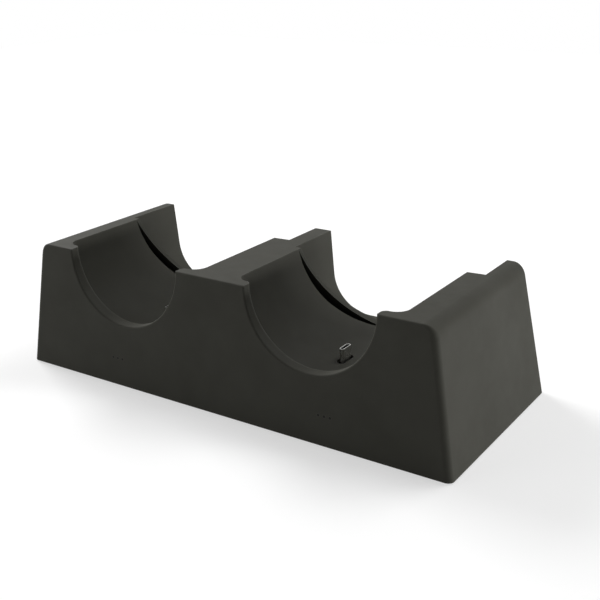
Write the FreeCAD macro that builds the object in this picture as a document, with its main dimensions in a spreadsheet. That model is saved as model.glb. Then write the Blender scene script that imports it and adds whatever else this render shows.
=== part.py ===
import FreeCAD, Part
import math
import os
import re
import Sketcher
from FreeCAD import Placement, Rotation, Vector

# Charging dock for a pair of hand controllers: one long tapered plastic moulding with two
# round cradles, a small plug standing in the floor of each, closed below by a flat cover.
# Lengths in millimetres. X runs along the dock, the front is towards -Y, Z is up, and the
# origin lies under the middle of the dock on the surface that its feet stand on.

doc = FreeCAD.newDocument("dock")
sheet = doc.addObject("Spreadsheet::Sheet", "sizes")

SIZES = [
    # Outer form of the moulding
    ("dock_length", 268.0),
    ("dock_depth", 113.0),
    ("dock_height", 72.5),
    ("end_inset", 12.0),
    ("front_inset", 4.2),
    ("rear_inset", 7.0),
    ("wall", 2.4),
    ("end_radius", 7.5),
    ("corner_radius", 3.3),
    ("edge_radius", 0.9),
    # The two cradles
    ("cradle_spread", 0.43657),
    ("cradle_shift", -2.5),
    ("rim_radius", 36.8),
    ("rim_edge", 0.9),
    ("lip_depth", 7.7),
    ("lip_rounding", 3.0),
    ("pocket_radius", 46.8),
    ("seat_back", 67.0),
    ("seat_tilt", 29.0),
    ("seat_radius", 37.8),
    ("seat_down", 15.7),
    ("seat_aside", 12.3),
    ("seat_width", 7.5),
    ("seat_flare", 58.0),
    ("rib_thickness", 6.5),
    ("rib_turn", 5.1),
    ("rear_web", 10.0),
    ("rear_shift", 2.9),
    ("rear_floor", 23.6),
    ("rear_draft", 1.0),
    ("rear_corner", 22.6),
    ("rear_reach", 20.0),
    # Plug in each cradle
    ("plug_shift", -4.4),
    ("plug_back", 45.2),
    ("plug_rise", 7.0),
    ("plug_width", 8.3),
    ("plug_thick", 2.5),
    ("plug_wall", 0.3),
    ("plug_tail", 6.0),
    ("insert_sink", 0.2),
    ("slot_length", 12.6),
    ("slot_width", 4.6),
    ("fit_gap", 0.3),
    ("spigot_drop", 1.6),
    ("collar_length", 30.0),
    ("collar_width", 14.0),
    ("collar_drop", 6.1),
    ("flange_thick", 2.4),
    ("small_board", 1.2),
    ("small_screw", 2.0),
    ("small_head", 3.8),
    ("small_head_height", 1.4),
    ("small_screw_length", 7.0),
    ("hole_spare", 0.5),
    # Cover, feet and screws below
    ("foot_proud", 0.6),
    ("foot_radius", 6.0),
    ("foot_thick", 1.8),
    ("foot_from_end", 26.0),
    ("foot_from_side", 14.5),
    ("cover_thick", 3.0),
    ("cover_recess", 0.4),
    ("cover_gap", 0.3),
    ("boss_radius", 4.0),
    ("boss_from_end", 15.0),
    ("boss_from_side", 22.5),
    ("mid_boss_y", 10.0),
    ("cover_screw", 2.6),
    ("cover_head", 5.2),
    ("cover_head_height", 1.6),
    ("cover_head_sink", 1.9),
    ("cover_screw_length", 10.0),
    # Indicator lights in the front wall
    ("light_spread", 0.497),
    ("light_rise", 16.0),
    ("light_hole", 1.3),
    ("light_pitch", 3.3),
    ("light_count", 3.0),
    ("guide_length", 11.6),
    ("guide_height", 3.6),
    ("guide_thick", 2.2),
    ("guide_leg", 1.0),
    ("chip_gap", 0.3),
    ("chip_length", 1.6),
    ("chip_width", 0.8),
    ("light_board_length", 22.0),
    ("light_board_height", 8.0),
    ("light_post", 2.4),
    ("light_post_pitch", 16.0),
    # Main board and power inlet at the back
    ("board_length", 64.0),
    ("board_width", 27.0),
    ("board_thick", 1.6),
    ("board_rise", 4.0),
    ("board_edge_gap", 0.6),
    ("post_radius", 3.0),
    ("post_inset", 4.0),
    ("inlet_width", 8.9),
    ("inlet_height", 3.2),
    ("inlet_wall", 0.3),
    ("inlet_length", 7.3),
    ("inlet_sink", 0.6),
    ("inlet_gap", 0.35),
    ("tongue_width", 6.7),
    ("tongue_thick", 0.7),
    ("tongue_length", 5.0),
    ("tongue_sink", 0.6),
    ("tongue_clear", 0.1),
]
for row, (alias, value) in enumerate(SIZES, start=1):
    sheet.set("A%d" % row, alias)
    sheet.set("B%d" % row, repr(value))
    sheet.setAlias("B%d" % row, alias)
doc.recompute()

TOUCH = 0.1
WORD = re.compile(r"[A-Za-z_][A-Za-z0-9_]*")
NAMES = {alias for alias, _ in SIZES}


def q(text):
    """Put the sheet's name in front of each size that a formula uses."""
    return WORD.sub(lambda m: "sizes." + m.group() if m.group() in NAMES else m.group(), text)


def val(text):
    """Present value of a formula, used to lay a sketch out before it is solved."""
    return float(sheet.evalExpression(q(text)))


# Formulas that several pieces share
COVER_Z = "(foot_proud + cover_recess)"
COVER_TOP = "(%s + cover_thick)" % COVER_Z
SHELL_RISE = "(dock_height - foot_proud)"
ROOF_SHARE = "((dock_height - wall - foot_proud) / %s)" % SHELL_RISE
FRONT = "(-dock_depth / 2)"
LIGHT_TILT = "atan(front_inset / %s)" % SHELL_RISE
SEAT_SLOPE = "tan(seat_tilt * 1 deg)"
REAR_HALF = "((cradle_spread * dock_length - rear_web) / 2)"
CRADLES = (
    ("left", "(cradle_shift - cradle_spread * dock_length / 2)", "(-light_spread * dock_length / 2)"),
    ("right", "(cradle_shift + cradle_spread * dock_length / 2)", "(light_spread * dock_length / 2)"),
)
COLLAR_FOOT = "(dock_height - pocket_radius - collar_drop)"

SHARE_AT_COVER = "((%s - foot_proud) / %s)" % (COVER_TOP, SHELL_RISE)
BOARD_Z = "(%s + board_rise)" % COVER_TOP
INLET_Z = "(%s + board_thick + inlet_height / 2)" % BOARD_Z
BOARD_REAR = "(dock_depth / 2 - wall - rear_inset * (%s - foot_proud) / %s - board_edge_gap)" % (
    INLET_Z, SHELL_RISE)
BOARD_Y = "(%s - board_width / 2)" % BOARD_REAR
BOARD_POSTS = [("%s(board_length / 2 - post_inset)" % side, BOARD_Y) for side in ("-", "")]
FEET = [
    ("%s(dock_length / 2 - foot_from_end)" % sx, "%s(dock_depth / 2 - foot_from_side)" % sy)
    for sx in ("-", "") for sy in ("-", "")
]
NODES = []


def make_body(name, x=None, y=None, z=None):
    body = doc.addObject("PartDesign::Body", name)
    body.Label = name
    for axis, text in (("x", x), ("y", y), ("z", z)):
        if text:
            body.setExpression("Placement.Base." + axis, q(text))
    return body


def make_sketch(body, role="XY_Plane", lift=None):
    """Sketch on one of the body's own origin planes, lifted along the plane's normal."""
    sketch = body.newObject("Sketcher::SketchObject", body.Name + "_sketch")
    plane = next(f for f in body.Origin.OriginFeatures if f.Role == role)
    sketch.AttachmentSupport = [(plane, "")]
    sketch.MapMode = "FlatFace"
    if lift:
        sketch.setExpression("AttachmentOffset.Base.z", q(lift))
    return sketch


def hold(sketch, kind, *rest):
    """Add a constraint whose last argument is a formula."""
    number = sketch.addConstraint(Sketcher.Constraint(kind, *rest[:-1], val(rest[-1])))
    sketch.setExpression("Constraints[%d]" % number, q(rest[-1]))


def outline(sketch, corners, arcs=None):
    """Closed outline through corners given as formulas; arcs maps a side to (radius, turn)."""
    arcs = arcs or {}
    points = [Vector(val(x), val(y), 0) for x, y in corners]
    count = len(points)
    first = sketch.GeometryCount
    ends = []
    for i in range(count):
        a, b = points[i], points[(i + 1) % count]
        if i in arcs:
            radius, turn = arcs[i]
            middle = (a + b) * 0.5
            half = (b - a).Length / 2
            normal = Vector(-(b - a).y, (b - a).x, 0).normalize()
            centre = middle + normal * (turn * (val(radius) ** 2 - half ** 2) ** 0.5)
            start = math.atan2(*reversed((a - centre)[:2]))
            stop = math.atan2(*reversed((b - centre)[:2]))
            circle = Part.Circle(centre, Vector(0, 0, 1), val(radius))
            if turn > 0:
                sketch.addGeometry(Part.ArcOfCircle(circle, start, stop))
                ends.append((1, 2))
            else:
                sketch.addGeometry(Part.ArcOfCircle(circle, stop, start))
                ends.append((2, 1))
        else:
            sketch.addGeometry(Part.LineSegment(a, b))
            ends.append((1, 2))
    for i in range(count):
        j = (i + 1) % count
        sketch.addConstraint(Sketcher.Constraint(
            "Coincident", first + i, ends[i][1], first + j, ends[j][0]))
    for i, (x, y) in enumerate(corners):
        hold(sketch, "DistanceX", -1, 1, first + i, ends[i][0], x)
        hold(sketch, "DistanceY", -1, 1, first + i, ends[i][0], y)
    for i, (radius, _) in arcs.items():
        hold(sketch, "Radius", first + i, radius)


def box_outline(sketch, x, y, width, height):
    """Rectangle round a middle point."""
    x1, x2 = "%s - (%s) / 2" % (x, width), "%s + (%s) / 2" % (x, width)
    y1, y2 = "%s - (%s) / 2" % (y, height), "%s + (%s) / 2" % (y, height)
    outline(sketch, [(x1, y1), (x2, y1), (x2, y2), (x1, y2)])


def ring(sketch, x, y, radius):
    number = sketch.addGeometry(Part.Circle(Vector(val(x), val(y), 0), Vector(0, 0, 1), val(radius)))
    hold(sketch, "DistanceX", -1, 1, number, 3, x)
    hold(sketch, "DistanceY", -1, 1, number, 3, y)
    hold(sketch, "Radius", number, radius)


def slot(sketch, x, y, length, width, upright):
    """Long hole with round ends; its long way is the sketch's Y when upright."""
    reach = "((%s) - (%s)) / 2" % (length, width)
    radius = "(%s) / 2" % width
    dx, dy = (0, val(reach)) if upright else (val(reach), 0)
    mid = Vector(val(x), val(y), 0)
    r = val(radius)
    turn = 0 if upright else -math.pi / 2
    far = Part.Circle(mid + Vector(dx, dy, 0), Vector(0, 0, 1), r)
    near = Part.Circle(mid - Vector(dx, dy, 0), Vector(0, 0, 1), r)
    a = sketch.addGeometry(Part.ArcOfCircle(far, turn, turn + math.pi))
    b = sketch.addGeometry(Part.ArcOfCircle(near, turn + math.pi, turn + 2 * math.pi))
    side = Vector(r, 0, 0) if upright else Vector(0, -r, 0)
    step = Vector(dx, dy, 0)
    c = sketch.addGeometry(Part.LineSegment(mid + side - step, mid + side + step))
    d = sketch.addGeometry(Part.LineSegment(mid - side + step, mid - side - step))
    for one, end, other, start in ((c, 2, a, 1), (a, 2, d, 1), (d, 2, b, 1), (b, 2, c, 1)):
        sketch.addConstraint(Sketcher.Constraint("Tangent", one, end, other, start))
    for number, sign in ((a, "+"), (b, "-")):
        along = "%s %s %s" % (y if upright else x, sign, reach)
        hold(sketch, "DistanceX", -1, 1, number, 3, x if upright else along)
        hold(sketch, "DistanceY", -1, 1, number, 3, along if upright else y)
        hold(sketch, "Radius", number, radius)


def pad(body, sketch, length):
    feature = body.newObject("PartDesign::Pad", body.Name + "_pad")
    feature.Profile = sketch
    feature.setExpression("Length", q(length))
    return feature


def pocket(body, sketch, length):
    """Cut along the sketch's normal, towards the side it is padded to."""
    feature = body.newObject("PartDesign::Pocket", body.Name + "_pocket")
    feature.Profile = sketch
    feature.Reversed = True
    feature.setExpression("Length", q(length))
    return feature


def cut(name, base, tools):
    """Part::Cut of one or several pieces from a base."""
    feature = doc.addObject("Part::Cut", name)
    feature.Base = base
    feature.Tool = tools[0] if len(tools) == 1 else fuse(name + "_tools", tools)
    return feature


def fuse(name, pieces):
    feature = doc.addObject("Part::MultiFuse", name)
    feature.Shapes = pieces
    return feature


# Moulded upper shell
# A tapered block, hollowed from below to an even wall; the cradles are sunk into its top and
# their walls hang inside as bowls of the same thickness.

def turn_about(body, sketch, side):
    """Revolve a sketch about one of its own sides."""
    feature = body.newObject("PartDesign::Revolution", body.Name + "_turned")
    feature.Profile = sketch
    feature.ReferenceAxis = (sketch, ["Edge%d" % side])
    feature.Angle = 360
    doc.recompute()
    return feature


def seat_point(along, ahead):
    """Point of the leaning seat: down its plane, and square to it towards the front."""
    y = "%s + seat_back + %s * sin(seat_tilt * 1 deg) - %s * cos(seat_tilt * 1 deg)"
    z = "-%s * cos(seat_tilt * 1 deg) - %s * sin(seat_tilt * 1 deg)"
    return y % (FRONT, along, ahead), z % (along, ahead)


def lean(body, x):
    """Place a body on the inner side of the leaning front wall, at the lights."""
    body.Placement = Placement(Vector(), Rotation(Vector(1, 0, 0), -val(LIGHT_TILT)))
    share = "(light_rise - foot_proud) / %s" % SHELL_RISE
    body.setExpression("Placement.Base.x", q(x))
    body.setExpression("Placement.Base.y", q("%s + wall + front_inset * %s" % (FRONT, share)))
    body.setExpression("Placement.Base.z", q("light_rise"))
    body.setExpression("Placement.Rotation.Angle", q("-" + LIGHT_TILT))


def light_places():
    """Middle of each light along the wall."""
    count = int(val("light_count"))
    return ["(%r * light_pitch)" % (i - (count - 1) / 2) for i in range(count)]


def tapered_block(name, margin, floor, roof, share):
    """Block with four leaning sides, its sides a margin inside those of the moulding."""
    body = make_body(name)
    wedge = body.newObject("PartDesign::AdditiveWedge", name + "_wedge")
    plane = next(f for f in body.Origin.OriginFeatures if f.Role == "XZ_Plane")
    wedge.AttachmentSupport = [(plane, "")]
    wedge.MapMode = "FlatFace"
    half_x = "(dock_length / 2 - %s)" % margin
    half_y = "(dock_depth / 2 - %s)" % margin
    for prop, text in (
        ("Ymin", floor),
        ("Ymax", roof),
        ("Xmin", "-" + half_x),
        ("Xmax", half_x),
        ("Zmin", "-" + half_y),
        ("Zmax", half_y),
        ("X2min", "-%s + end_inset * %s" % (half_x, share)),
        ("X2max", "%s - end_inset * %s" % (half_x, share)),
        ("Z2min", "-%s + rear_inset * %s" % (half_y, share)),
        ("Z2max", "%s - front_inset * %s" % (half_y, share)),
    ):
        wedge.setExpression(prop, q(text))
    doc.recompute()
    return body


def bowl_form(name, x, grow):
    """Space of one cradle: lip, pocket, seat and rear way out.

    Grown by a wall thickness it gives the bowl's hidden outer side, there with straight lines
    in place of the small roundings.
    """
    hollow = grow == "0"
    body = make_body(name, x=x, z="dock_height")

    # Rear way out: an open channel with leaning sides and rounded lower corners
    reach = "(dock_depth / 2 + rear_reach)"
    depth = "(dock_height - rear_floor + %s)" % grow
    low = "(%s + %s - tan(rear_draft * 1 deg) * %s)" % (REAR_HALF, grow, depth)
    lift = "(dock_height / 2)"
    high = "(%s + %s + tan(rear_draft * 1 deg) * %s)" % (REAR_HALF, grow, lift)
    channel = make_sketch(body, "XZ_Plane", lift="-%s" % reach)
    outline(channel, [
        ("rear_shift - " + low, "-" + depth),
        ("rear_shift + " + low, "-" + depth),
        ("rear_shift + " + high, lift),
        ("rear_shift - " + high, lift),
    ])
    pad(body, channel, reach + " + dock_depth / 2")
    doc.recompute()
    bar = body.Tip
    corners = [
        "Edge%d" % i for i, e in enumerate(bar.Shape.Edges, 1)
        if abs(e.BoundBox.YLength - val(reach + " + dock_depth / 2")) < TOUCH
        and e.BoundBox.ZMax < 0
    ]
    rounding = body.newObject("PartDesign::Fillet", name + "_corners")
    rounding.Base = (bar, corners)
    rounding.setExpression("Radius", q("rear_corner + %s" % grow))
    doc.recompute()

    # The channel starts behind the leaning rib, whose rear face is turned a little
    turn = "tan(rib_turn * 1 deg)"
    front_edge = "(%s + seat_back + rib_thickness - %s * dock_length / 2 - %s / cos(seat_tilt * 1 deg))" % (
        FRONT, turn, grow)
    slope = make_sketch(body, "YZ_Plane", lift="-dock_length / 2")
    slope.AttachmentOffset = Placement(
        slope.AttachmentOffset.Base, Rotation(Vector(0, 1, 0), -val("rib_turn")))
    slope.setExpression("AttachmentOffset.Rotation.Angle", q("rib_turn"))
    outline(slope, [
        ("-dock_depth", lift),
        ("-dock_depth", "-dock_height"),
        (front_edge + " + %s * dock_height" % SEAT_SLOPE, "-dock_height"),
        (front_edge + " - %s * %s" % (SEAT_SLOPE, lift), lift),
    ])
    pocket(body, slope, "dock_length")
    doc.recompute()

    # Lip and pocket: a turned form about an axis in the top plane
    ahead = "(%s - rear_reach)" % FRONT
    lip_end = "(%s + lip_depth)" % FRONT
    step_end = "(%s + lip_rounding)" % lip_end
    cove = "(pocket_radius - rim_radius - lip_rounding)"
    pocket_start = "(%s + %s)" % (step_end, cove)
    pocket_end = "(%s + seat_back + %s * pocket_radius + rib_thickness + %s * pocket_radius)" % (
        FRONT, SEAT_SLOPE, turn)
    turned = make_sketch(body, "YZ_Plane")
    corners = [
        (pocket_end, "-(pocket_radius + %s)" % grow),
        (pocket_end, "0"),
        (ahead, "0"),
        (ahead, "-(rim_radius + %s)" % grow),
    ]
    if hollow:
        corners += [
            (lip_end, "-rim_radius"),
            (step_end, "-(rim_radius + lip_rounding)"),
            (pocket_start, "-pocket_radius"),
        ]
        outline(turned, corners, arcs={4: ("lip_rounding", -1), 5: (cove, 1)})
    else:
        bevel = "((2 - sqrt(2)) * (%s + %s))" % (cove, grow)
        corners += [
            ("%s - %s" % (step_end, grow), "-(rim_radius + %s)" % grow),
            ("%s - %s" % (step_end, grow), "-(pocket_radius + %s - %s)" % (grow, bevel)),
            ("%s - %s + %s" % (step_end, grow, bevel), "-(pocket_radius + %s)" % grow),
        ]
        outline(turned, corners)
    turn_about(body, turned, 2)

    # Leaning seat in front of the rib: a flaring disc, set low and to one side of the pocket
    flare = "(seat_flare * 1 deg)"
    seat = make_sketch(body, "YZ_Plane", lift="-seat_aside")
    corners = [
        seat_point("seat_down", "(-%s)" % grow),
        seat_point("(seat_down + seat_radius + %s)" % grow, "(-%s)" % grow),
    ]
    if not hollow:
        corners.append(seat_point("(seat_down + seat_radius + %s)" % grow,
                                  "(%s * tan(%s / 2))" % (grow, flare)))
    narrow = "(seat_down + seat_radius + %s / cos%s - tan%s * (seat_width + %s))" % (
        grow, flare, flare, grow)
    corners += [
        seat_point(narrow, "(seat_width + %s)" % grow),
        seat_point("seat_down", "(seat_width + %s)" % grow),
    ]
    outline(seat, corners)
    turn_about(body, seat, len(corners))
    return body


block = tapered_block("block", "0", "foot_proud", "dock_height", "1")
ends = doc.addObject("Part::Fillet", "block_ends")
ends.Base = block
ends.Edges = [
    (i, val("end_radius"), val("end_radius"))
    for i, e in enumerate(block.Shape.Edges, 1)
    if e.BoundBox.ZLength < TOUCH and e.BoundBox.XLength < TOUCH
    and e.BoundBox.ZMax > val("dock_height") - TOUCH
]
doc.recompute()

core = tapered_block("core", "wall", "foot_proud", "dock_height - wall", ROOF_SHARE)

bosses = make_body("cover_bosses")
posts = make_sketch(bosses, lift=COVER_TOP)
holes = make_body("cover_boss_holes")
pilots = make_sketch(holes, lift=COVER_TOP)
BOSSES = [
    ("%s(dock_length / 2 - boss_from_end)" % sx, "%s(dock_depth / 2 - boss_from_side)" % sy)
    for sy in ("-", "") for sx in ("-", "")
] + [("cradle_shift", "mid_boss_y")]
for x, y in BOSSES:
    ring(posts, x, y, "boss_radius")
    ring(pilots, x, y, "cover_screw / 2")
pad(bosses, posts, "dock_height - wall - " + COVER_TOP)
pad(holes, pilots, "cover_screw_length")

inside = [bosses]
hollows = []
windows = [holes]
for side, x, light in CRADLES:
    plug_x = "(%s + plug_shift)" % x
    plug_y = "(%s + plug_back)" % FRONT
    inside.append(bowl_form(side + "_bowl", x, "wall"))
    hollows.append(bowl_form(side + "_hollow", x, "0"))

    collar = make_body(side + "_collar", plug_x, plug_y)
    frame = make_sketch(collar, lift=COLLAR_FOOT)
    box_outline(frame, "0", "0", "collar_width", "collar_length")
    pad(collar, frame, "collar_drop")
    inside.append(collar)

    window = make_body(side + "_window", plug_x, plug_y)
    opening = make_sketch(window, lift=COLLAR_FOOT)
    slot(opening, "0", "0", "slot_length", "slot_width", True)
    pad(window, opening, "collar_drop + wall")
    windows.append(window)

    light_posts = make_body(side + "_light_posts")
    lean(light_posts, light)
    post = make_sketch(light_posts, "XZ_Plane", lift="-(guide_thick + guide_leg)")
    for sign in ("-", ""):
        box_outline(post, sign + "light_post_pitch / 2", "0", "light_post", "light_board_height")
    pad(light_posts, post, "guide_thick + guide_leg + wall / 2")
    inside.append(light_posts)

    light_holes = make_body(side + "_light_holes")
    lean(light_holes, light)
    dots = make_sketch(light_holes, "XZ_Plane", lift="-wall")
    for place in light_places():
        ring(dots, place, "0", "light_hole / 2")
    pad(light_holes, dots, "3 * wall")
    windows.append(light_holes)

inlet_hole = make_body("inlet_hole")
mouth = make_sketch(inlet_hole, "XZ_Plane", lift="-dock_depth / 2")
slot(mouth, "0", INLET_Z, "inlet_width + 2 * inlet_gap", "inlet_height + 2 * inlet_gap", False)
pad(inlet_hole, mouth, "rear_inset + 2 * wall")
windows.append(inlet_hole)

# Round rims and top edges are eased, and the upright corners are rounder
sunk = cut("block_sunk", ends, hollows)
doc.recompute()
soft = []
for i, e in enumerate(sunk.Shape.Edges, 1):
    box = e.BoundBox
    outside = box.YMax < val(FRONT) + val("front_inset") + TOUCH or (
        box.YMin > -val(FRONT) - val("rear_inset") - TOUCH)
    upright = box.ZLength > val("dock_height") / 2 and box.XLength > TOUCH
    if not outside or box.ZMax < val("foot_proud") + TOUCH:
        continue
    if box.ZMin < val("foot_proud") + TOUCH and upright:
        soft.append((i, val("corner_radius"), val("corner_radius")))
    elif box.ZMin > val("dock_height") - TOUCH:
        soft.append((i, val("edge_radius"), val("edge_radius")))
    elif e.Curve.TypeId == "Part::GeomEllipse" and box.YMax < 0 and box.ZLength > val("rim_radius") / 2:
        soft.append((i, val("rim_edge"), val("rim_edge")))
eased = doc.addObject("Part::Fillet", "block_eased")
eased.Base = sunk
eased.Edges = soft
cavity = cut("cavity", core, inside)
upper_shell = cut("upper_shell", eased, [cavity] + windows)
NODES.append(upper_shell)

# Flat cover let into the underside, with counterbored screw holes, shallow seats for the
# feet and two posts for the main board
cover = make_body("base_plate")
NODES.append(cover)
plate = make_sketch(cover, lift=COVER_Z)
side_x = "(dock_length - 2 * wall - 2 * cover_gap - 2 * end_inset * %s)" % SHARE_AT_COVER
front_y = "(%s + wall + cover_gap + front_inset * %s)" % (FRONT, SHARE_AT_COVER)
rear_y = "(dock_depth / 2 - wall - cover_gap - rear_inset * %s)" % SHARE_AT_COVER
outline(plate, [
    ("-%s / 2" % side_x, front_y),
    ("%s / 2" % side_x, front_y),
    ("%s / 2" % side_x, rear_y),
    ("-%s / 2" % side_x, rear_y),
])
pad(cover, plate, "cover_thick")
board_posts = make_sketch(cover, lift=COVER_TOP)
for x, y in BOARD_POSTS:
    ring(board_posts, x, y, "post_radius")
pad(cover, board_posts, "board_rise")
post_depth = "(small_screw_length - board_thick + hole_spare)"
post_holes = make_sketch(cover, lift="%s - %s" % (BOARD_Z, post_depth))
for x, y in BOARD_POSTS:
    ring(post_holes, x, y, "small_screw / 2")
pocket(cover, post_holes, post_depth)
sinks = make_sketch(cover, lift=COVER_Z)
shanks = make_sketch(cover, lift=COVER_Z)
for x, y in BOSSES:
    ring(sinks, x, y, "cover_head / 2 + cover_gap")
    ring(shanks, x, y, "cover_screw / 2")
pocket(cover, sinks, "cover_head_sink")
pocket(cover, shanks, "cover_thick")
seats = make_sketch(cover, lift=COVER_Z)
for x, y in FEET:
    ring(seats, x, y, "foot_radius")
pocket(cover, seats, "foot_thick - %s" % COVER_Z)

# Four round rubber pads stuck into the seats of the cover
feet = make_body("rubber_feet")
NODES.append(feet)
pads = make_sketch(feet)
for x, y in FEET:
    ring(pads, x, y, "foot_radius")
pad(feet, pads, "foot_thick")


def screws(name, places, bearing, head, head_height, shank, length, up):
    """Group of equal pan head screws whose heads bear on one plane."""
    body = make_body(name)
    NODES.append(body)
    heads = make_sketch(body, lift="%s - %s" % (bearing, head_height) if up else bearing)
    stems = make_sketch(body, lift=bearing if up else "%s - %s" % (bearing, length))
    for px, py in places:
        ring(heads, px, py, head + " / 2")
        ring(stems, px, py, shank + " / 2")
    pad(body, heads, head_height)
    pad(body, stems, length)


# Five screws hold the cover to the bosses of the shell
screws("base_screws", BOSSES, COVER_Z + " + cover_head_sink", "cover_head",
       "cover_head_height", "cover_screw", "cover_screw_length", True)

# Main board on the two posts of the cover, with the power inlet soldered to its rear edge
board = make_body("main_board")
NODES.append(board)
panel = make_sketch(board, lift=BOARD_Z)
box_outline(panel, "0", BOARD_Y, "board_length", "board_width")
pad(board, panel, "board_thick")
clear = make_sketch(board, lift=BOARD_Z)
for x, y in BOARD_POSTS:
    ring(clear, x, y, "small_screw / 2")
pocket(board, clear, "board_thick")
screws("main_board_screws", BOARD_POSTS, BOARD_Z + " + board_thick", "small_head",
       "small_head_height", "small_screw", "small_screw_length", False)

# Inlet: a drawn steel shell, open to the back, round a flat tongue on its rear block
INLET_BACK = "(dock_depth / 2 - inlet_sink - rear_inset * (%s - foot_proud) / %s)" % (
    INLET_Z, SHELL_RISE)
shell = make_body("inlet_shell")
NODES.append(shell)
skin = make_sketch(shell, "XZ_Plane", lift="-" + INLET_BACK)
slot(skin, "0", INLET_Z, "inlet_width", "inlet_height", False)
pad(shell, skin, "inlet_length")
bore = make_sketch(shell, "XZ_Plane", lift="-%s" % INLET_BACK)
slot(bore, "0", INLET_Z, "inlet_width - 2 * inlet_wall", "inlet_height - 2 * inlet_wall", False)
pocket(shell, bore, "inlet_length")
tongue = make_body("inlet_tongue")
NODES.append(tongue)
block_end = "(%s - inlet_length)" % INLET_BACK
ROOT_LENGTH = "(inlet_length - tongue_length - tongue_sink)"
root = make_sketch(tongue, "XZ_Plane", lift="-(%s + %s)" % (block_end, ROOT_LENGTH))
slot(root, "0", INLET_Z, "inlet_width - 2 * inlet_wall", "inlet_height - 2 * inlet_wall", False)
pad(tongue, root, ROOT_LENGTH)
blade = make_sketch(tongue, "XZ_Plane", lift="-(%s + inlet_length - tongue_sink)" % block_end)
box_outline(blade, "0", INLET_Z, "tongue_width", "tongue_thick")
pad(tongue, blade, "tongue_length")

# What hangs under each cradle and behind each group of lights
for side, x, light in CRADLES:
    plug_x = "(%s + plug_shift)" % x
    plug_y = "(%s + plug_back)" % FRONT
    floor = "(dock_height - sqrt(pocket_radius ^ 2 - plug_shift ^ 2))"
    tip = "(%s + plug_rise)" % floor
    spigot = "(%s - spigot_drop)" % floor
    heel = "(%s - flange_thick)" % COLLAR_FOOT

    # Holder: a flange under the collar and a spigot that fills the slot in the cradle floor
    holder = make_body(side + "_plug_holder", plug_x, plug_y)
    NODES.append(holder)
    flange = make_sketch(holder, lift=heel)
    box_outline(flange, "0", "0", "collar_width", "collar_length")
    pad(holder, flange, "flange_thick")
    nose = make_sketch(holder, lift=COLLAR_FOOT)
    slot(nose, "0", "0", "slot_length - 2 * fit_gap", "slot_width - 2 * fit_gap", True)
    pad(holder, nose, "%s - %s" % (spigot, COLLAR_FOOT))
    seat = make_sketch(holder, lift=heel)
    slot(seat, "0", "0", "plug_width", "plug_thick", True)
    pocket(holder, seat, spigot + " - " + heel)

    # Plug: a drawn steel shell standing out of the floor, with its insulator inside
    plug = make_body(side + "_plug_shell", plug_x, plug_y)
    NODES.append(plug)
    skin = make_sketch(plug, lift=heel)
    slot(skin, "0", "0", "plug_width", "plug_thick", True)
    pad(plug, skin, "%s - %s" % (tip, heel))
    bore = make_sketch(plug, lift=heel)
    slot(bore, "0", "0", "plug_width - 2 * plug_wall", "plug_thick - 2 * plug_wall", True)
    pocket(plug, bore, "%s - %s" % (tip, heel))

    insert = make_body(side + "_plug_insert", plug_x, plug_y)
    NODES.append(insert)
    core_form = make_sketch(insert, lift=heel)
    slot(core_form, "0", "0", "plug_width - 2 * plug_wall", "plug_thick - 2 * plug_wall", True)
    pad(insert, core_form, "%s - insert_sink - %s" % (tip, heel))
    mouth = make_sketch(insert, lift="%s - plug_tail" % tip)
    slot(mouth, "0", "0", "tongue_width + 2 * tongue_clear", "tongue_thick + tongue_clear", True)
    pocket(insert, mouth, "plug_tail")

    # Small board under the holder, soldered to the tail of the plug
    small = make_body(side + "_plug_board", plug_x, plug_y)
    NODES.append(small)
    sheet_form = make_sketch(small, lift=heel + " - small_board")
    box_outline(sheet_form, "0", "0", "collar_width", "collar_length")
    pad(small, sheet_form, "small_board")

    # Light guide: a clear bar against the wall, its pips flush with the front face
    guide = make_body(side + "_light_guide")
    NODES.append(guide)
    lean(guide, light)
    bar = make_sketch(guide, "XZ_Plane", lift="-guide_thick")
    box_outline(bar, "0", "0", "guide_length", "guide_height")
    pad(guide, bar, "guide_thick")
    pips = make_sketch(guide, "XZ_Plane", lift="-guide_thick / 2")
    for place in light_places():
        ring(pips, place, "0", "light_hole / 2")
    pad(guide, pips, "guide_thick / 2 + wall * cos(%s)" % LIGHT_TILT)
    legs = make_sketch(guide, "XZ_Plane", lift="-(guide_thick + guide_leg)")
    for sign in ("-", ""):
        box_outline(legs, "%s(guide_length - guide_leg) / 2" % sign, "0", "guide_leg", "guide_height")
    pad(guide, legs, "guide_leg + guide_thick / 2")

    # Light board glued to two ribs of the wall, with one lamp chip behind each pip
    lamp_board = make_body(side + "_light_board")
    NODES.append(lamp_board)
    lean(lamp_board, light)
    strip = make_sketch(lamp_board, "XZ_Plane", lift="-(guide_thick + guide_leg + small_board)")
    box_outline(strip, "0", "0", "light_board_length", "light_board_height")
    pad(lamp_board, strip, "small_board")

    chips = make_body(side + "_light_chips")
    NODES.append(chips)
    lean(chips, light)
    dice = make_sketch(chips, "XZ_Plane", lift="-(guide_thick + guide_leg)")
    for place in light_places():
        box_outline(dice, place, "0", "chip_length", "chip_width")
    pad(chips, dice, "guide_leg - chip_gap")

doc.recompute()
failed = [o.Label for o in doc.Objects if "Invalid" in o.State or "Error" in o.State]
if failed:
    raise RuntimeError("failed: " + ", ".join(failed))
os.makedirs("parts", exist_ok=True)
for node in NODES:
    shape = node.Shape
    if shape.isNull() or not shape.isValid():
        raise RuntimeError("no sound shape: " + node.Label)
for node in NODES:
    node.Shape.exportStep("parts/%s.step" % node.Label)
    print(node.Label, len(node.Shape.Solids), round(node.Shape.Volume, 1))
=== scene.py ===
import bmesh
import bpy
import math
from mathutils import Matrix, Vector


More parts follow.
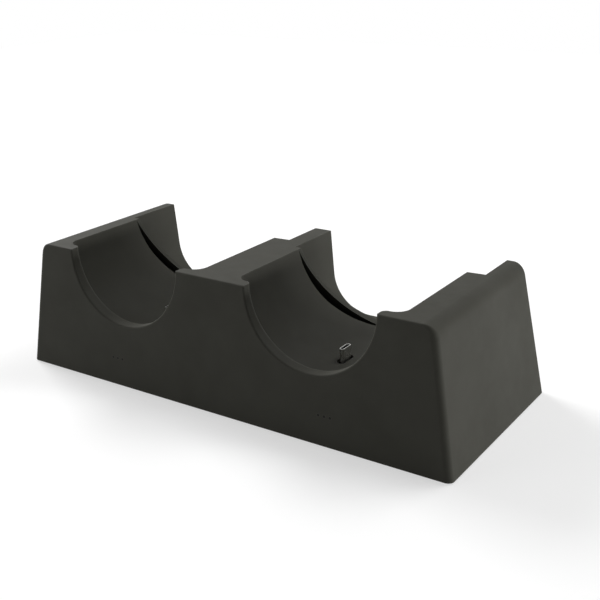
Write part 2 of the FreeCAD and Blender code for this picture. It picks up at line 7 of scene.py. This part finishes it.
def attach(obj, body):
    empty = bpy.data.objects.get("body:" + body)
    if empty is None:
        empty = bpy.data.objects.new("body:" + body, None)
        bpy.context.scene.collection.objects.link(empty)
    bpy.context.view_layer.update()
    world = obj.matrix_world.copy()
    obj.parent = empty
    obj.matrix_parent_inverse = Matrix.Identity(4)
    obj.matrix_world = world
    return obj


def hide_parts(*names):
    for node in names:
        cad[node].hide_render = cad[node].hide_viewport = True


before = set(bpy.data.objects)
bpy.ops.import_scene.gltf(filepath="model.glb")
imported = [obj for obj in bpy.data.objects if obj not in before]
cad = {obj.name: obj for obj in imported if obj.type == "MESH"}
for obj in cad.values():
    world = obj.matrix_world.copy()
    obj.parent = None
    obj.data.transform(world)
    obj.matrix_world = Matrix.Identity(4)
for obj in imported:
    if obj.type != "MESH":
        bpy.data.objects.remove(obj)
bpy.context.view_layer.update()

# Upper shell: one injection moulding in dark warm grey plastic that carries both cradles.
# Its steel mould was spark eroded, so the whole outside has a fine dry grain and a soft,
# even sheen. Its edges carry a painted highlight, a paler colour in patches, and are a touch smoother.


def new_material(name):
    """Material with its nodes, their links and its shader."""
    material = bpy.data.materials.new(name)
    material.use_nodes = True
    nodes = material.node_tree.nodes
    return material, nodes, material.node_tree.links, nodes["Principled BSDF"]


def speckle(nodes, links, scale, detail=2.0, rough=0.5):
    """Noise over the piece itself, its scale in cells per metre."""
    place = nodes.new("ShaderNodeTexCoord")
    noise = nodes.new("ShaderNodeTexNoise")
    noise.inputs["Scale"].default_value = scale
    noise.inputs["Detail"].default_value = detail
    noise.inputs["Roughness"].default_value = rough
    links.new(place.outputs["Object"], noise.inputs["Vector"])
    return noise.outputs["Fac"]


def between(nodes, links, value, low, high):
    """Spread a noise value over a range of numbers."""
    spread = nodes.new("ShaderNodeMapRange")
    spread.inputs["From Min"].default_value = 0.3
    spread.inputs["From Max"].default_value = 0.7
    spread.inputs["To Min"].default_value = low
    spread.inputs["To Max"].default_value = high
    links.new(value, spread.inputs["Value"])
    return spread.outputs["Result"]


def two_tones(nodes, links, value, dark, light):
    """Patches of two close colours, as a noise value goes from low to high."""
    ramp = nodes.new("ShaderNodeValToRGB")
    ramp.color_ramp.elements[0].position = 0.32
    ramp.color_ramp.elements[0].color = (*dark, 1.0)
    ramp.color_ramp.elements[1].position = 0.68
    ramp.color_ramp.elements[1].color = (*light, 1.0)
    links.new(value, ramp.inputs["Fac"])
    return ramp.outputs["Color"]


def raised(nodes, links, value, height, strength, under=None):
    """Bump of a given height in metres, over another bump if one is given."""
    bump = nodes.new("ShaderNodeBump")
    bump.inputs["Distance"].default_value = height
    bump.inputs["Strength"].default_value = strength
    links.new(value, bump.inputs["Height"])
    if under is not None:
        links.new(under, bump.inputs["Normal"])
    return bump.outputs["Normal"]


def combined(nodes, links, operation, first, second):
    """Sum or product of two values, held between 0 and 1."""
    both = nodes.new("ShaderNodeMath")
    both.operation = operation
    both.use_clamp = True
    links.new(first, both.inputs[0])
    links.new(second, both.inputs[1])
    return both.outputs[0]


def painted_edge_highlight(nodes, links, width):
    """Mask for a painted highlight along edges of about this width, broken up in patches."""
    rounded = nodes.new("ShaderNodeBevel")
    rounded.samples = 6
    rounded.inputs["Radius"].default_value = width
    surface = nodes.new("ShaderNodeNewGeometry")
    turned = nodes.new("ShaderNodeVectorMath")
    turned.operation = "DOT_PRODUCT"
    links.new(rounded.outputs["Normal"], turned.inputs[0])
    links.new(surface.outputs["Normal"], turned.inputs[1])
    edge = nodes.new("ShaderNodeMapRange")
    # Cosines between the rounded and the true normal, from no painted highlight to full.
    cosine_where_flat = 0.995
    cosine_where_highlit = 0.90
    edge.inputs["From Min"].default_value = cosine_where_flat
    edge.inputs["From Max"].default_value = cosine_where_highlit
    links.new(turned.outputs["Value"], edge.inputs["Value"])
    patches = between(nodes, links, speckle(nodes, links, 160.0, detail=3.0), 0.25, 1.0)
    return combined(nodes, links, "MULTIPLY", edge.outputs["Result"], patches)


def moulded_plastic(name, dark, light, dull, grain=2600.0, edge_highlight=None):
    """Spark-eroded moulding: faint cloudiness, a fine dry grain and a slow flow in its sheen."""
    material, nodes, links, shader = new_material(name)
    cloud = speckle(nodes, links, 38.0, detail=4.0)
    colour = two_tones(nodes, links, cloud, dark, light)
    flow = speckle(nodes, links, 120.0, detail=3.0, rough=0.6)
    sheen = between(nodes, links, flow, dull - 0.035, dull + 0.035)
    # A paler colour is painted on the rounded edges as a highlight, and the sheen is smoother there.
    if edge_highlight is not None:
        highlight_mask = painted_edge_highlight(nodes, links, width=0.0009)
        highlighted = nodes.new("ShaderNodeMix")
        highlighted.data_type = "RGBA"
        links.new(highlight_mask, highlighted.inputs["Factor"])
        links.new(colour, highlighted.inputs["A"])
        highlighted.inputs["B"].default_value = (*edge_highlight, 1.0)
        colour = highlighted.outputs["Result"]
        smoother = nodes.new("ShaderNodeMix")
        links.new(highlight_mask, smoother.inputs["Factor"])
        links.new(sheen, smoother.inputs["A"])
        smoother.inputs["B"].default_value = dull - 0.2
        sheen = smoother.outputs["Result"]
    links.new(colour, shader.inputs["Base Color"])
    links.new(sheen, shader.inputs["Roughness"])
    grain_height = 0.00003
    coarse_cells = speckle(nodes, links, grain * 0.35)
    coarse = raised(nodes, links, coarse_cells, grain_height * 1.5, 0.35)
    fine_cells = speckle(nodes, links, grain, detail=3.0, rough=0.7)
    fine = raised(nodes, links, fine_cells, grain_height, 0.6, under=coarse)
    links.new(fine, shader.inputs["Normal"])
    shader.inputs["Specular IOR Level"].default_value = 0.06
    return material


def finish_node(node, material):
    """Give a CAD piece its finish."""
    piece = cad[node]
    piece.data.materials.clear()
    piece.data.materials.append(material)


# The shell's rounded edges get a painted highlight in a paler tone.
finish_node("upper_shell", moulded_plastic(
    "dark_grey_shell_plastic", dark=(0.0445, 0.0440, 0.0365), light=(0.0515, 0.0510, 0.0430),
    dull=0.6, edge_highlight=(0.075, 0.074, 0.064)))

# Cover: a flat moulding in near-black plastic, let into the underside and screwed to the
# bosses of the shell. The same grain as the shell, a little coarser.
finish_node("base_plate", moulded_plastic(
    "black_cover_plastic", dark=(0.020, 0.020, 0.018), light=(0.025, 0.025, 0.022),
    dull=0.6, grain=1800.0))

# Feet: four round pads die-cut from soft black rubber and stuck into the seats of the cover.
# Their faces are matt, with the fine open grain of the sheet that they were cut from.


def mottled(name, dark, light, patches, detail, dull, drift, grain=None, height=0.0,
            strength=0.0, metal=0.0):
    """Finish of a small part: two close tones, a sheen that drifts and, if given, a grain."""
    material, nodes, links, shader = new_material(name)
    tones = two_tones(nodes, links, speckle(nodes, links, patches, detail), dark, light)
    links.new(tones, shader.inputs["Base Color"])
    sheen = between(nodes, links, speckle(nodes, links, drift), *dull)
    links.new(sheen, shader.inputs["Roughness"])
    if grain is not None:
        bumps = raised(nodes, links, speckle(nodes, links, grain), height, strength)
        links.new(bumps, shader.inputs["Normal"])
    shader.inputs["Metallic"].default_value = metal
    return material


finish_node("rubber_feet", mottled(
    "soft_black_rubber", dark=(0.012, 0.012, 0.012), light=(0.02, 0.02, 0.02), patches=300.0,
    detail=4.0, dull=(0.78, 0.92), drift=900.0, grain=2200.0, height=0.00004, strength=0.7))

# Screws: pan heads with a cross recess, in black zinc. Five are driven from below through the
# cover into plain holes in the bosses, and two smaller ones hold the main board to its posts.
zinc = mottled(
    "black_zinc", dark=(0.05, 0.05, 0.055), light=(0.09, 0.09, 0.1), patches=700.0,
    detail=4.0, dull=(0.3, 0.5), drift=1500.0, grain=3000.0, height=0.00001, strength=0.5,
    metal=1.0)


def turned_profile(bm, x, y, profile):
    """Spin a profile of radius and height round an upright axis through x, y."""
    around = 28
    rings = []
    for radius, z in profile:
        if radius == 0.0:
            rings.append([bm.verts.new((x, y, z))] * around)
            continue
        ring = []
        for k in range(around):
            angle = math.tau * k / around
            ring.append(bm.verts.new((x + radius * math.cos(angle), y + radius * math.sin(angle), z)))
        rings.append(ring)
    for upper, lower in zip(rings, rings[1:]):
        for k in range(around):
            after = (k + 1) % around
            corners = [upper[k], upper[after], lower[after], lower[k]]
            bm.faces.new(list(dict.fromkeys(corners)))


def recess_wing(bm, x, y, turn, mouth, floor, half_long, half_wide):
    """Tapered bar that cuts one arm of a cross recess, from its wide mouth to its floor."""
    along = Vector((math.cos(turn), math.sin(turn), 0.0))
    aside = Vector((-math.sin(turn), math.cos(turn), 0.0))
    loops = []
    for z, long, wide in ((mouth, half_long, half_wide), (floor, half_long * 0.3, half_wide * 0.6)):
        loops.append([bm.verts.new(Vector((x, y, z)) + along * long * i + aside * wide * j)
                      for i, j in ((-1, -1), (1, -1), (1, 1), (-1, 1))])
    bm.faces.new(loops[0])
    bm.faces.new(loops[1][::-1])
    for k in range(4):
        after = (k + 1) % 4
        bm.faces.new([loops[0][k], loops[1][k], loops[1][after], loops[0][after]])


def mesh_piece(name, bm, material):
    """Put a finished mesh into the scene under a name of its own."""
    bmesh.ops.recalc_face_normals(bm, faces=bm.faces)
    mesh = bpy.data.meshes.new(name)
    bm.to_mesh(mesh)
    bm.free()
    mesh.materials.append(material)
    piece = bpy.data.objects.new(name, mesh)
    bpy.context.scene.collection.objects.link(piece)
    return piece


def cross_head_screws(name, node, places, bearing, head, high, shank, length, facing):
    """Equal screws whose heads bear at one height; facing is -1 where the heads look down."""
    crown = bearing + facing * high
    tip = bearing - facing * length
    # The crown rolls over from its middle to the rim: shares of the head's radius and height
    dome = ((0.0, 0.0), (0.52, 0.05), (0.8, 0.24), (0.95, 0.5), (1.0, 0.7), (1.0, 1.0))
    profile = [(head * out, crown - facing * high * down) for out, down in dome]
    profile += [(shank, bearing), (shank, tip + facing * shank * 1.5), (shank * 0.55, tip), (0.0, tip)]
    recess_mouth = crown + facing * 0.0001
    recess_floor = crown - facing * high * 0.68
    bodies = bmesh.new()
    wings = [bmesh.new(), bmesh.new()]
    for k, (x, y) in enumerate(places):
        turned_profile(bodies, x, y, profile)
        for half, wing in enumerate(wings):
            turn = 0.4 + 1.3 * k + half * math.pi / 2
            recess_wing(wing, x, y, turn, recess_mouth, recess_floor, head * 0.56, head * 0.13)
    piece = mesh_piece(name, bodies, zinc)
    cutters = [mesh_piece(name + "_wing_%d" % half, wing, zinc) for half, wing in enumerate(wings)]
    for cutter in cutters:
        cut = piece.modifiers.new("recess", "BOOLEAN")
        cut.operation = "DIFFERENCE"
        cut.solver = "EXACT"
        cut.object = cutter
    depsgraph = bpy.context.evaluated_depsgraph_get()
    shaped = bpy.data.meshes.new_from_object(piece.evaluated_get(depsgraph))
    piece.modifiers.clear()
    piece.data = shaped
    for cutter in cutters:
        bpy.data.objects.remove(cutter)
    shaped.polygons.foreach_set("use_smooth", [True] * len(shaped.polygons))
    shaped.set_sharp_from_angle(angle=0.6)
    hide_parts(node)
    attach(piece, "root")


cover_bosses = [(-0.119, -0.034), (0.119, -0.034), (-0.119, 0.034), (0.119, 0.034), (-0.0025, 0.010)]
cross_head_screws("cover_screws", "base_screws", cover_bosses, bearing=0.0029, head=0.0026,
                  high=0.0016, shank=0.0013, length=0.010, facing=-1)
board_posts = [(-0.028, 0.038968), (0.028, 0.038968)]
cross_head_screws("board_screws", "main_board_screws", board_posts, bearing=0.0096, head=0.0019,
                  high=0.0014, shank=0.0010, length=0.007, facing=1)

# Plugs and inlet: shells drawn from thin steel and nickel plated, round black insulators.
# The plugs stand in black holders that are pushed up through the floors of the cradles.
nickel = mottled(
    "nickel_plate", dark=(0.56, 0.56, 0.54), light=(0.66, 0.66, 0.63), patches=500.0,
    detail=4.0, dull=(0.24, 0.38), drift=1200.0, grain=4000.0, height=0.000006, strength=0.5,
    metal=1.0)
insulator = moulded_plastic(
    "black_insulator", dark=(0.010, 0.010, 0.010), light=(0.016, 0.016, 0.016),
    dull=0.45, grain=3000.0)
for node in ("left_plug_shell", "right_plug_shell", "inlet_shell"):
    finish_node(node, nickel)
for node in ("left_plug_insert", "right_plug_insert", "inlet_tongue", "left_plug_holder",
             "right_plug_holder"):
    finish_node(node, insulator)

# Boards: glass-fibre laminate under a green lacquer, seen only where the cover comes off.
# The lacquer is thin, so the weave below it still shows as a faint unevenness.
laminate = mottled(
    "green_lacquered_board", dark=(0.006, 0.055, 0.02), light=(0.01, 0.075, 0.03),
    patches=800.0, detail=3.0, dull=(0.25, 0.4), drift=1500.0, grain=2500.0, height=0.00001,
    strength=0.6)
for node in ("main_board", "left_plug_board", "right_plug_board", "left_light_board",
             "right_light_board"):
    finish_node(node, laminate)

# Lights: a smoked clear guide behind the front wall with three pips that end flush with it,
# and a lamp chip behind each pip. Nothing is lit.
smoked = mottled(
    "smoked_light_guide", dark=(0.006, 0.006, 0.006), light=(0.010, 0.010, 0.009),
    patches=600.0, detail=3.0, dull=(0.3, 0.4), drift=1500.0)
smoked.node_tree.nodes["Principled BSDF"].inputs["Specular IOR Level"].default_value = 0.12
lamp_chip = mottled(
    "unlit_lamp_chip", dark=(0.5, 0.45, 0.2), light=(0.6, 0.56, 0.3),
    patches=900.0, detail=3.0, dull=(0.3, 0.45), drift=1500.0)
for side in ("left", "right"):
    finish_node(side + "_light_guide", smoked)
    finish_node(side + "_light_chips", lamp_chip)

# Floor: pale paper that carries the dock's soft shadow and grows lighter away from it, until
# it runs into the white behind.


def seen_directly(nodes, links):
    """1 for what the camera sees straight, in a reflection or through a clear piece."""
    path = nodes.new("ShaderNodeLightPath")
    straight = path.outputs["Is Camera Ray"]
    mirrored = combined(nodes, links, "ADD", straight, path.outputs["Is Glossy Ray"])
    return combined(nodes, links, "ADD", mirrored, path.outputs["Is Transmission Ray"])


def smooth_fade(nodes, links, value, start, end, low, high):
    """Ease from one strength to another while a value goes from start to end."""
    fade = nodes.new("ShaderNodeMapRange")
    fade.interpolation_type = "SMOOTHSTEP"
    fade.inputs["From Min"].default_value = start
    fade.inputs["From Max"].default_value = end
    fade.inputs["To Min"].default_value = low
    fade.inputs["To Max"].default_value = high
    links.new(value, fade.inputs["Value"])
    return fade.outputs["Result"]


paper, nodes, links, shader = new_material("pale_studio_floor")
clouds = two_tones(nodes, links, speckle(nodes, links, 6.0), (0.48, 0.48, 0.48), (0.5, 0.5, 0.5))
links.new(clouds, shader.inputs["Base Color"])
shader.inputs["Roughness"].default_value = 0.9
shader.inputs["Specular IOR Level"].default_value = 0.1
place = nodes.new("ShaderNodeTexCoord")
distance = nodes.new("ShaderNodeVectorMath")
distance.operation = "LENGTH"
links.new(place.outputs["Object"], distance.inputs[0])
glow = smooth_fade(nodes, links, distance.outputs["Value"], start=0.35, end=1.1, low=0.55, high=1.0)
lift = combined(nodes, links, "MULTIPLY", seen_directly(nodes, links), glow)
shader.inputs["Emission Color"].default_value = (1.0, 1.0, 1.0, 1.0)
links.new(lift, shader.inputs["Emission Strength"])
sheet = bpy.data.meshes.new("studio_floor")
reach = 1.5
corners = [(-reach, -reach, 0), (reach, -reach, 0), (reach, reach, 0), (-reach, reach, 0)]
sheet.from_pydata(corners, [], [(0, 1, 2, 3)])
sheet.materials.append(paper)
floor = bpy.data.objects.new("studio_floor", sheet)
bpy.context.scene.collection.objects.link(floor)

# Lamps: a large softbox behind on the left gives most of the light. A low strip lights the
# right-hand end, and two weaker boxes lift the front wall and the top.


def softbox(name, place, aim, wide, high, watts):
    """A flat rectangular lamp that looks at a point."""
    lamp = bpy.data.lights.new(name, "AREA")
    lamp.shape = "RECTANGLE"
    lamp.size = wide
    lamp.size_y = high
    lamp.energy = watts
    box = bpy.data.objects.new(name, lamp)
    box.location = place
    box.rotation_euler = (Vector(aim) - Vector(place)).to_track_quat("-Z", "Y").to_euler()
    bpy.context.scene.collection.objects.link(box)


softbox("left_softbox", (-2.6, 0.8, 1.8), aim=(0, 0, 0.05), wide=1.6, high=1.6, watts=96.0)
softbox("right_softbox", (1.25, 0.4, 0.1), aim=(0, 0, 0.04), wide=0.6, high=0.14, watts=12.0)
softbox("front_softbox", (-0.8, -1.1, 0.25), aim=(0, 0, 0.05), wide=0.9, high=0.4, watts=5.0)
softbox("top_softbox", (0.4, 0.7, 1.15), aim=(0, 0, 0.05), wide=0.6, high=0.6, watts=7.0)

# Room: a plain white backdrop to the eye. Its pale light comes from all sides but the one
# where the photographer stands, which is open and dark.
world = bpy.data.worlds.new("studio_world")
bpy.context.scene.world = world
world.use_nodes = True
nodes = world.node_tree.nodes
links = world.node_tree.links
toward_photographer = (0.52, -0.70, 0.49)
around = nodes.new("ShaderNodeTexCoord")
facing = nodes.new("ShaderNodeVectorMath")
facing.operation = "DOT_PRODUCT"
facing.inputs[1].default_value = toward_photographer
links.new(around.outputs["Generated"], facing.inputs[0])
dimmed = smooth_fade(nodes, links, facing.outputs["Value"], start=0.2, end=0.8, low=0.3, high=0.02)
soft = nodes["Background"]
soft.inputs["Color"].default_value = (1.0, 1.0, 1.0, 1.0)
links.new(dimmed, soft.inputs["Strength"])
backdrop = nodes.new("ShaderNodeBackground")
backdrop.inputs["Color"].default_value = (1.0, 1.0, 1.0, 1.0)
backdrop.inputs["Strength"].default_value = 1.0
either = nodes.new("ShaderNodeMixShader")
links.new(seen_directly(nodes, links), either.inputs[0])
links.new(soft.outputs[0], either.inputs[1])
links.new(backdrop.outputs[0], either.inputs[2])
links.new(either.outputs[0], nodes["World Output"].inputs["Surface"])
bpy.context.scene.view_settings.view_transform = "Standard"

# Camera: where the photographer stood, in front of the right-hand end and a little above,
# with a lens that is somewhat longer than normal.
lens = bpy.data.cameras.new("camera")
lens.lens = 59.58
lens.sensor_width = 36.0
lens.clip_start = 0.01
camera = bpy.data.objects.new("camera", lens)
stand = (0.29546, -0.41154, 0.23287)
right = Vector((0.83171, 0.55488, -0.01935)).normalized()
up = Vector((-0.17838, 0.30005, 0.93710)).normalized()
back = right.cross(up).normalized()
up = back.cross(right)
turn = Matrix((right, up, back)).transposed().to_4x4()
camera.matrix_world = Matrix.Translation(stand) @ turn
bpy.context.scene.collection.objects.link(camera)
bpy.context.scene.camera = camera
